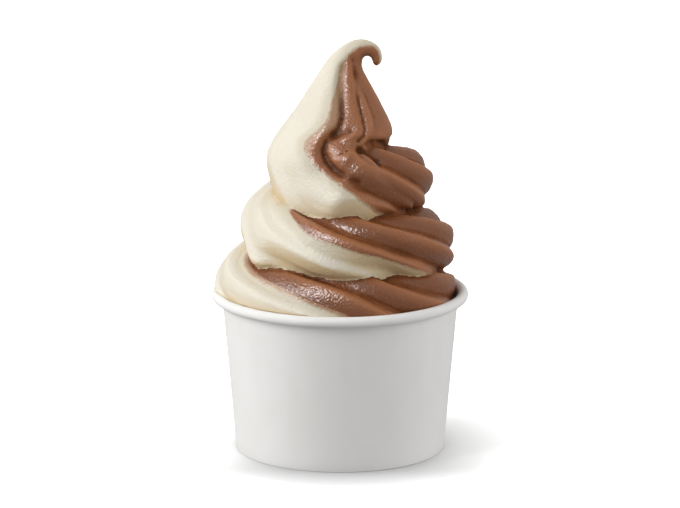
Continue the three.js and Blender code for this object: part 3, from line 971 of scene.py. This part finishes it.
def core_rings():
    """The ice cream in the middle of the coil, as two rings."""
    angles = np.linspace(-math.pi, math.pi, 64, endpoint=False)
    return np.stack([
        np.stack([radius * np.cos(angles), radius * np.sin(angles), 0 * angles + height], -1)
        for radius, height in ((CORE_BOTTOM_RADIUS, CORE_BOTTOM), (CORE_TOP_RADIUS, CORE_TOP))])


def joined_mesh(name, tubes):
    """One mesh of several tubes, each given as its points, sides and ends."""
    start, points, faces = 0, [], []
    for tube_points, quads, caps in tubes:
        points.append(tube_points)
        faces += [quads + start, caps + start]
        start += len(tube_points)
    return mesh_of(name, np.concatenate(points), faces)


def room_outline():
    """All the room that the ice cream may take: inside the cup, and over its rim."""
    bottom = BASE_TOP + ICE_CLEARANCE
    wide, high = RIM_DIAMETER, CUP_HEIGHT * 4
    fold_clear = inner_radius_at(FOLD_HEIGHT) - PAPER - ICE_CLEARANCE
    return [
        (0, bottom), (fold_clear, bottom), (fold_clear, FOLD_HEIGHT + ICE_CLEARANCE),
        (inner_radius_at(FOLD_HEIGHT) - ICE_CLEARANCE, FOLD_HEIGHT + ICE_CLEARANCE),
        *bead_arc(BEAD_RADIUS + ICE_CLEARANCE, 180, 90, 10),
        (wide, CUP_HEIGHT + ICE_CLEARANCE), (wide, high), (0, high),
    ]


def rope_turns(step):
    """Turns along the rope, about a step of millimetres apart."""
    fine = np.linspace(FIRST_TURN, LAST_TURN, 4000)
    path = through(rope_stations(), fine)[:, :3]
    length = np.concatenate([[0], np.cumsum(np.linalg.norm(np.diff(path, axis=0), axis=1))])
    in_swing = (fine[1:] > SWING[0]) & (fine[1:] < SWING[1])
    reach = length + np.concatenate([[0], np.cumsum(in_swing * SWING_REACH)])
    places = np.arange(0, reach[-1], step)
    return np.interp(np.append(places, reach[-1]), reach, fine), fine, length


class RopeMap:
    """Says for any point of the ice cream where on the rope's skin it lies."""

    READS = ("turn", "along", "around", "side", "zone", "flank")

    def __init__(self):
        turns, fine, length = rope_turns(MAP_STEP)
        angles = np.linspace(-math.pi, math.pi, MAP_SIDES, endpoint=False)
        skin = rope_skin(turns, angles)
        after, before = np.roll(skin, -1, axis=1), np.roll(skin, 1, axis=1)
        stretch = np.linalg.norm(after - skin, axis=2)
        arc = np.cumsum(stretch, axis=1)
        whole = arc[:, -1:]
        around = np.concatenate([np.zeros((len(arc), 1)), arc[:, :-1]], axis=1)
        begins, zone = through(BOUNDARY, turns).T
        ends = np.full(len(begins), CHOCOLATE_END)
        low, high = (
            np.array([np.interp(math.radians(a), angles, ring) for a, ring in zip(edge, around)])[:, None]
            for edge in (begins, ends))
        # Millimetres to the nearer edge of the chocolate, more than nothing on it.
        rise, fall = around - low, high - around
        outside = np.minimum((low - around) % whole, (around - high) % whole)
        side = np.where((rise >= 0) & (fall >= 0), np.minimum(rise, fall), -outside)
        values = np.stack([
            np.broadcast_to(column, around.shape) for column in (
                turns[:, None], np.interp(turns, fine, length)[:, None], around, side, zone[:, None],
                rib_flank(angles)[None, :])
        ], -1)
        per_side = (np.roll(values, -1, axis=1) - np.roll(values, 1, axis=1)) / 2
        per_side[..., 2] = (stretch + np.roll(stretch, 1, axis=1)) / 2
        self.skin = skin.reshape(-1, 3)
        self.values = values.reshape(-1, len(self.READS))
        self.slopes = [
            slope.reshape(self.values.shape) for slope in (np.gradient(values, axis=0), per_side)]
        self.steps = [np.gradient(skin, axis=0).reshape(-1, 3), ((after - before) / 2).reshape(-1, 3)]
        facing = np.cross(*self.steps)
        rise = facing[:, 2] / np.maximum(np.linalg.norm(facing, axis=1), 1e-9)
        if np.sum(facing * (self.skin - np.repeat(skin.mean(1), MAP_SIDES, axis=0))) < 0:
            rise = -rise
        self.trees = [self.tree_of(np.flatnonzero(chosen)) for chosen in (
            rise < FACING_SHARE, np.ones(len(rise), bool), rise > -FACING_SHARE)]

    def tree_of(self, chosen):
        tree = KDTree(len(chosen))
        for index in chosen.tolist():
            tree.insert(self.skin[index], index)
        tree.balance()
        return tree

    def read(self, points, normals):
        """Turn, distance along and round the rope, distance into the chocolate, marbled width, flank.

        Points that face up are looked for only on what faces up, and the same downwards, so that
        where two layers meet each keeps its own flavour.
        """
        down, up = normals[:, 2] < -FACING_SHARE / 2, normals[:, 2] > FACING_SHARE / 2
        which = np.select([down, up], [0, 2], 1)
        found = np.fromiter(
            (self.trees[w].find(p)[1] for w, p in zip(which.tolist(), points)), np.int64, len(points))
        offset = points - self.skin[found]
        one, two = self.steps[0][found], self.steps[1][found]
        aa, ab, bb = (np.einsum("ij,ij->i", u, v) for u, v in ((one, one), (one, two), (two, two)))
        pa, pb = np.einsum("ij,ij->i", offset, one), np.einsum("ij,ij->i", offset, two)
        area = np.maximum(aa * bb - ab * ab, 1e-9)
        share_one = np.clip((pa * bb - pb * ab) / area, -1, 1)[:, None]
        share_two = np.clip((pb * aa - pa * ab) / area, -2, 2)[:, None]
        values = (self.values[found] + share_one * self.slopes[0][found]
                  + share_two * self.slopes[1][found])
        return dict(zip(self.READS, values.T))


def ice_cream_body(settings):
    """The whole swirl as one closed skin."""
    turns, _, _ = rope_turns(BODY_STEP)
    angles = np.linspace(-math.pi, math.pi, BODY_SIDES, endpoint=False)
    rings = rope_skin(turns, angles)
    joined = joined_mesh("swirl", [
        closed_tube(rings), closed_tube(with_root(rings, turns)),
        closed_tube(core_rings()), closed_tube(fold_rings())])
    return fused("swirl", joined, settings.detail)


def chocolate_side():
    """A closed form round the chocolate half of the rope, a little thicker than it."""
    turns, _, _ = rope_turns(SIDE_STEP)
    begins = through(BOUNDARY, turns)[:, :1]
    angles = np.radians(begins + (CHOCOLATE_END - begins) * np.linspace(0, 1, SIDE_ARC))
    arc = rope_skin(turns, angles, SIDE_GROWTH)
    share = np.linspace(0, 1, SIDE_CHORD)[1:-1][None, :, None]
    across = arc[:, -1:, :] * (1 - share) + arc[:, :1, :] * share
    rings = np.concatenate([arc, across], axis=1)
    rope = joined_mesh("chocolate_rope", [
        closed_tube(rings), closed_tube(with_root(rings, turns)),
        closed_tube(fold_rings(2 * SIDE_GROWTH))])
    return fused("chocolate_side", rope, SIDE_VOXEL * MM)


class Skin:
    """The whole swirl's skin: how it is shaded, and the flavour, flow and folds at its points."""

    def __init__(self, body, rope_map):
        points, self.normals = points_of(body), normals_of(body)
        read = rope_map.read(points, self.normals)
        self.flavour = spread(body, np.clip(read["side"], -FLAVOUR_REACH, FLAVOUR_REACH), 2)
        flank = np.clip(read["flank"], 0, 1) * np.interp(read["turn"], *FLANK_FADE)
        self.values = {
            "zone": read["zone"],
            "along": read["along"],
            "around": read["around"],
            "layer": np.floor(read["turn"] * 2) * LAYER_SHIFT,
            "under": spread(body, np.clip(UNDER_FROM - self.normals[:, 2], 0, 1), 4),
            "flank": spread(body, flank, 3),
        }
        for name, (rounds, begins, full, least, smooth) in HOLLOWS.items():
            depth = (hollows(body, points, rounds) - begins) / full
            self.values[name] = spread(body, np.clip(depth, least, 1), smooth)
        self.tree = KDTree(len(points))
        for index, point in enumerate(points):
            self.tree.insert(point, index)
        self.tree.balance()

    def dress(self, mesh):
        """Gives a piece cut from the skin its values and its shading, with hard edges at the cut."""
        near = [self.tree.find_n(point, 3) for point in points_of(mesh)]
        found = np.array([[index for _, index, _ in three] for three in near])
        apart = np.array([[distance for _, _, distance in three] for three in near])
        weight = 1 / (apart + NEAR_WEIGHT)
        keep_value(mesh, "flavour", (self.flavour[found] * weight).sum(1) / weight.sum(1))
        for name, values in self.values.items():
            keep_value(mesh, name, values[found[:, 0]])

        flat = np.empty(len(mesh.polygons) * 3, np.float32)
        mesh.polygons.foreach_get("normal", flat)
        sizes = np.empty(len(mesh.polygons), np.int32)
        mesh.polygons.foreach_get("loop_total", sizes)
        corners = np.empty(len(mesh.loops), np.int32)
        mesh.loops.foreach_get("vertex_index", corners)
        face_of = np.repeat(np.arange(len(sizes)), sizes)
        skin_normals = self.normals[found[:, 0]][corners]
        own = flat.reshape(-1, 3)[face_of]
        agree = np.einsum("ij,ij->i", own, skin_normals)
        loose = (apart[:, 0] > NEAR_SKIN)[corners] | (agree < CUT_AGREES)
        cut_face = np.zeros(len(sizes), bool)
        np.logical_or.at(cut_face, face_of, loose)
        normals = np.where(cut_face[face_of][:, None], own, skin_normals)
        mesh.normals_split_custom_set(normals.astype(np.float32))


def new_half_fill():
    """The chocolate half of the fill in the cup, a box on the +X side."""
    x0, x1 = 0.0, RIM_DIAMETER
    y0, y1 = -RIM_DIAMETER, RIM_DIAMETER
    z0, z1 = 0.0, FILL_TOP + 1
    corners = np.array([
        (x, y, z) for z in (z0, z1) for y in (y0, y1) for x in (x0, x1)], float)
    faces = np.array([
        (0, 2, 3, 1), (4, 5, 7, 6), (0, 1, 5, 4), (2, 6, 7, 3), (0, 4, 6, 2), (1, 3, 7, 5)])
    return mesh_of("half_fill", corners, [faces])


def beside(line, across, up):
    """Distance of points from a line of straight stretches, and how much of its mark is there."""
    nearest, place, start = np.full(len(across), np.inf), np.zeros(len(across)), 0.0
    for (x0, y0), (x1, y1) in zip(line, line[1:]):
        dx, dy = x1 - x0, y1 - y0
        length = math.hypot(dx, dy)
        share = np.clip(((across - x0) * dx + (up - y0) * dy) / length**2, 0, 1)
        apart = np.hypot(across - x0 - share * dx, up - y0 - share * dy)
        place = np.where(apart < nearest, start + share * length, place)
        nearest = np.minimum(nearest, apart)
        start += length
    inside = np.clip(np.minimum(place, start - place) / STROKE_FADE, 0, 1)
    return nearest, inside * inside * (3 - 2 * inside)


def seen_from_front(points):
    """Where points lie across and up the picture, in millimetres."""
    return points[:, 0], points[:, 2] * math.cos(VIEW_TILT) + points[:, 1] * math.sin(VIEW_TILT)


def rounded_shoulder(body):
    """The body's points, with the seams of the folded rib smoothed away round the shoulder."""
    points, normals = points_of(body), normals_of(body)
    apart, full = beside(SHOULDER, *seen_from_front(points))
    facing = np.clip(-normals[:, 1] * VIEW_FACING, 0, 1)
    share = np.exp(-((apart / SHOULDER_REACH) ** 2)) * full * facing
    smooth = np.stack([spread(body, points[:, axis].copy(), 24) for axis in range(3)], -1)
    return points + (smooth - points) * share[:, None]


def sculpted(points, normals):
    """The points with the peak's own creases and swellings pressed in, all seen from the front."""
    across, up = seen_from_front(points)
    facing = np.clip(-normals[:, 1] * VIEW_FACING, 0, 1)
    moved = np.zeros(len(points))
    for sign, marks in ((1, SWELLINGS), (-1, CREASES)):
        for half_width, height, line in marks:
            apart, full = beside(line, across, up)
            moved += sign * height * full * np.exp(-((apart / half_width) ** 2))
    return points + normals * (moved * facing)[:, None]


def relief(read, points, height):
    """How far the skin stands out from the plain rope, in millimetres."""
    def streaks(length, width, seed):
        """Noise drawn out along the rope, with cells of a length and a width."""
        cells = np.stack([read["along"] / length, read["around"] / width, np.zeros(len(points))], -1)
        return smooth_noise(cells, seed)

    broad, fine = streaks(*BROAD_STREAK, 3), streaks(*FINE_STREAK, 5)
    calm = np.interp(read["turn"], *STREAK_FADE)
    lumps = smooth_noise(points / LUMP, 7)
    froth = smooth_noise(points / FROTH, 11)
    chocolate = np.clip(0.5 + read["side"] / 2, 0, 1)
    patch = np.clip(0.5 + 1.5 * smooth_noise(points / PATCH, 13), 0, 1)
    rough = (0.15 + 0.45 * chocolate * patch) * froth
    return height * (calm * (0.8 * broad + 0.35 * fine) + 0.6 * lumps + rough)


def hollows(mesh, points, rounds):
    """How deep each point lies below the middle of those round it, in millimetres."""
    mean = np.stack([spread(mesh, points[:, axis].copy(), rounds) for axis in range(3)], -1)
    return np.einsum("ij,ij->i", mean - points, normals_of(mesh))


class SOFTSERVE_OT_make_swirl(bpy.types.Operator):
    """Make the vanilla and chocolate ice cream"""

    bl_idname = "softserve.make_swirl"
    bl_label = "Make Ice Cream"

    def execute(self, context):
        settings = context.scene.softserve_swirl
        body = ice_cream_body(settings)
        set_points(body, evened(body, points_of(body), EVEN_ROUNDS))
        set_points(body, rounded_shoulder(body))
        set_points(body, sculpted(points_of(body), normals_of(body)))
        rope_map = RopeMap()
        points, normals = points_of(body), normals_of(body)
        raised = relief(rope_map.read(points, normals), points, settings.relief / MM)
        set_points(body, points + normals * raised[:, None])
        wide = OUTER_FOOT_RADIUS + FILL_OVER_FOOT
        fill = [(0, BASE_TOP), (wide, BASE_TOP), (wide, FILL_TOP), (0, FILL_TOP)]
        body = cut("swirl", body, lathe_mesh("fill", fill, 128), "UNION")
        body = cut("swirl", body, lathe_mesh("room", room_outline(), 256), "INTERSECT")
        skin = Skin(body, rope_map)
        side = cut("side", chocolate_side(), new_half_fill(), "UNION")
        for name, node, slot, operation, finish in (
                ("chocolate_ice_cream", "chocolate", "chocolate_ice", "INTERSECT", CHOCOLATE_FINISH),
                ("vanilla_ice_cream", "vanilla", "vanilla_ice", "DIFFERENCE", VANILLA_FINISH)):
            mesh = cut(name, body.copy(), side.copy(), operation)
            mesh.name = name
            piece = new_object(name, mesh)
            finish_piece(piece, ice_cream_material(name, settings, finish))
            skin.dress(mesh)
            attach(piece, "root")
            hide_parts(node)
        return {"FINISHED"}


# ---- The stage ----


def look_at(piece, target):
    """Turns a lamp or the camera towards a point."""
    piece.rotation_mode = "QUATERNION"
    piece.rotation_quaternion = (Vector(target) - piece.location).to_track_quat("-Z", "Y")


def soft_light(name, place, size, power):
    """A square light that looks at the object."""
    lamp = bpy.data.lights.new(name, "AREA")
    lamp.shape = "RECTANGLE"
    lamp.size, lamp.size_y = size
    lamp.energy = power
    piece = bpy.data.objects.new(name, lamp)
    piece.location = place
    look_at(piece, LAMPS_LOOK_AT)
    piece.visible_camera = False
    bpy.context.scene.collection.objects.link(piece)
    return piece


def floor_material(settings):
    """Pale floor with a painted contact shadow close to the cup, darkest in front of it."""
    n = Nodes("pale_floor")
    where = n.add("TexCoord").outputs["Object"]
    # Painted contact shadow, from how open the floor is to the sky near the cup
    open_sky = n.add("AmbientOcclusion", {"Distance": 0.034}).outputs["AO"]
    lit = n.ranged(open_sky, 0.40, 0.97, 0.42, 1.0, smooth=False)
    place = n.add("SeparateXYZ", {"Vector": where})
    away = n.add("VectorMath", {0: where}, operation="LENGTH").outputs["Value"]
    # A painted shadow in front of the cup, fading with distance from it
    in_front = n.ranged(place.outputs["Y"], -0.01, -0.04)
    near = n.ranged(away, 0.095, 0.036, 0.0, 0.42, smooth=False)
    lit = n.maths("MULTIPLY", lit, n.maths("SUBTRACT", 1.0, n.maths("MULTIPLY", in_front, near)))
    pale = list(settings.floor)
    white = n.mixed(n.noise(where, 40, 2), tinted(pale, 0.995, 0.995, 0.995), pale)
    shade = n.add("CombineColor", {"Red": lit, "Green": lit, "Blue": lit})
    matt = n.add("BsdfDiffuse", {"Color": n.mixed(1.0, white, shade, "MULTIPLY")})
    n.tree.links.new(matt.outputs[0], n.output.inputs[0])
    n.tree.nodes.remove(n.shader)
    return n.material


def height_ramp(tree, height, inputs):
    """A brightness that changes with the height of a direction."""
    ramp = tree.nodes.new("ShaderNodeMapRange")
    tree.links.new(height, ramp.inputs["Value"])
    for key, value in inputs.items():
        ramp.inputs[key].default_value = value
    return ramp


def studio_world(settings):
    """Plain white light from all round, brighter or darker overhead and below."""
    world = bpy.data.worlds.new("studio")
    world.use_nodes = True
    tree = world.node_tree
    direction = tree.nodes.new("ShaderNodeSeparateXYZ")
    tree.links.new(tree.nodes.new("ShaderNodeTexCoord").outputs["Generated"], direction.inputs[0])
    height = direction.outputs["Z"]
    dome = height_ramp(tree, height, {
        "From Min": 0.2, "From Max": 0.95, "To Min": settings.room, "To Max": settings.top})
    under = height_ramp(tree, height, {"From Min": -0.1, "From Max": 0.0, "To Min": settings.below})
    tree.links.new(dome.outputs[0], under.inputs["To Max"])
    tree.links.new(under.outputs[0], tree.nodes["Background"].inputs["Strength"])
    tree.nodes["Background"].inputs["Color"].default_value = (1, 1, 1, 1)
    return world


def studio_camera(settings):
    """The camera, straight in front and a little above."""
    lens = bpy.data.cameras.new("camera")
    lens.lens = lens.sensor_width * settings.distance / settings.view_width
    lens.clip_end = 20
    camera = bpy.data.objects.new("camera", lens)
    aim = Vector((0, 0, settings.aim_height))
    camera.location = aim + settings.distance * Vector(
        (0, -math.cos(settings.elevation), math.sin(settings.elevation)))
    look_at(camera, aim)
    return camera


class SOFTSERVE_OT_make_stage(bpy.types.Operator):
    """Make the floor, the soft studio light and the camera"""

    bl_idname = "softserve.make_stage"
    bl_label = "Make Stage"

    def execute(self, context):
        settings = context.scene.softserve_stage
        scene = context.scene
        scene.view_settings.view_transform = "Standard"

        half = FLOOR_HALF / MM
        corners = np.array([(-half, -half, 0), (half, -half, 0), (half, half, 0), (-half, half, 0)])
        floor = new_object("floor", mesh_of("floor", corners, [np.array([[0, 1, 2, 3]])]))
        floor.data.materials.append(floor_material(settings))
        floor.visible_diffuse = floor.visible_glossy = floor.visible_transmission = False
        floor.visible_shadow = False

        scene.world = studio_world(settings)
        for name, place, size, on_matt, in_highlights in LIGHTS:
            lamp = soft_light(name + "_light", place, size, getattr(settings, name))
            lamp.visible_diffuse = on_matt
            lamp.visible_glossy = in_highlights

        camera = studio_camera(settings)
        scene.collection.objects.link(camera)
        scene.camera = camera
        return {"FINISHED"}


# ---- Panel and registration ----


class SOFTSERVE_PT_panel(bpy.types.Panel):
    """Settings and steps of the soft serve cup"""

    bl_label = "Soft Serve Cup"
    bl_idname = "SOFTSERVE_PT_panel"
    bl_space_type = "VIEW_3D"
    bl_region_type = "UI"
    bl_category = "Soft Serve"

    def draw(self, context):
        for group, operator in (
                ("softserve_stage", SOFTSERVE_OT_make_stage),
                ("softserve_cup", SOFTSERVE_OT_make_cup),
                ("softserve_swirl", SOFTSERVE_OT_make_swirl)):
            box = self.layout.box()
            settings = getattr(context.scene, group)
            for name in type(settings).__annotations__:
                box.prop(settings, name)
            box.operator(operator.bl_idname)


CLASSES = (
    PaperCupSettings, SwirlSettings, StageSettings,
    SOFTSERVE_OT_make_stage, SOFTSERVE_OT_make_cup, SOFTSERVE_OT_make_swirl,
    SOFTSERVE_PT_panel,
)


def register():
    """Makes the settings, operators and panel known to Blender."""
    for cls in CLASSES:
        bpy.utils.register_class(cls)
    bpy.types.Scene.softserve_cup = bpy.props.PointerProperty(type=PaperCupSettings)
    bpy.types.Scene.softserve_swirl = bpy.props.PointerProperty(type=SwirlSettings)
    bpy.types.Scene.softserve_stage = bpy.props.PointerProperty(type=StageSettings)


def unregister():
    """Takes them away again."""
    del bpy.types.Scene.softserve_stage
    del bpy.types.Scene.softserve_swirl
    del bpy.types.Scene.softserve_cup
    for cls in reversed(CLASSES):
        bpy.utils.unregister_class(cls)


def main():
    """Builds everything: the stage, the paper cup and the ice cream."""
    register()
    bpy.ops.softserve.make_stage()
    bpy.ops.softserve.make_cup()
    bpy.ops.softserve.make_swirl()


if __name__ == "__main__":
    main()
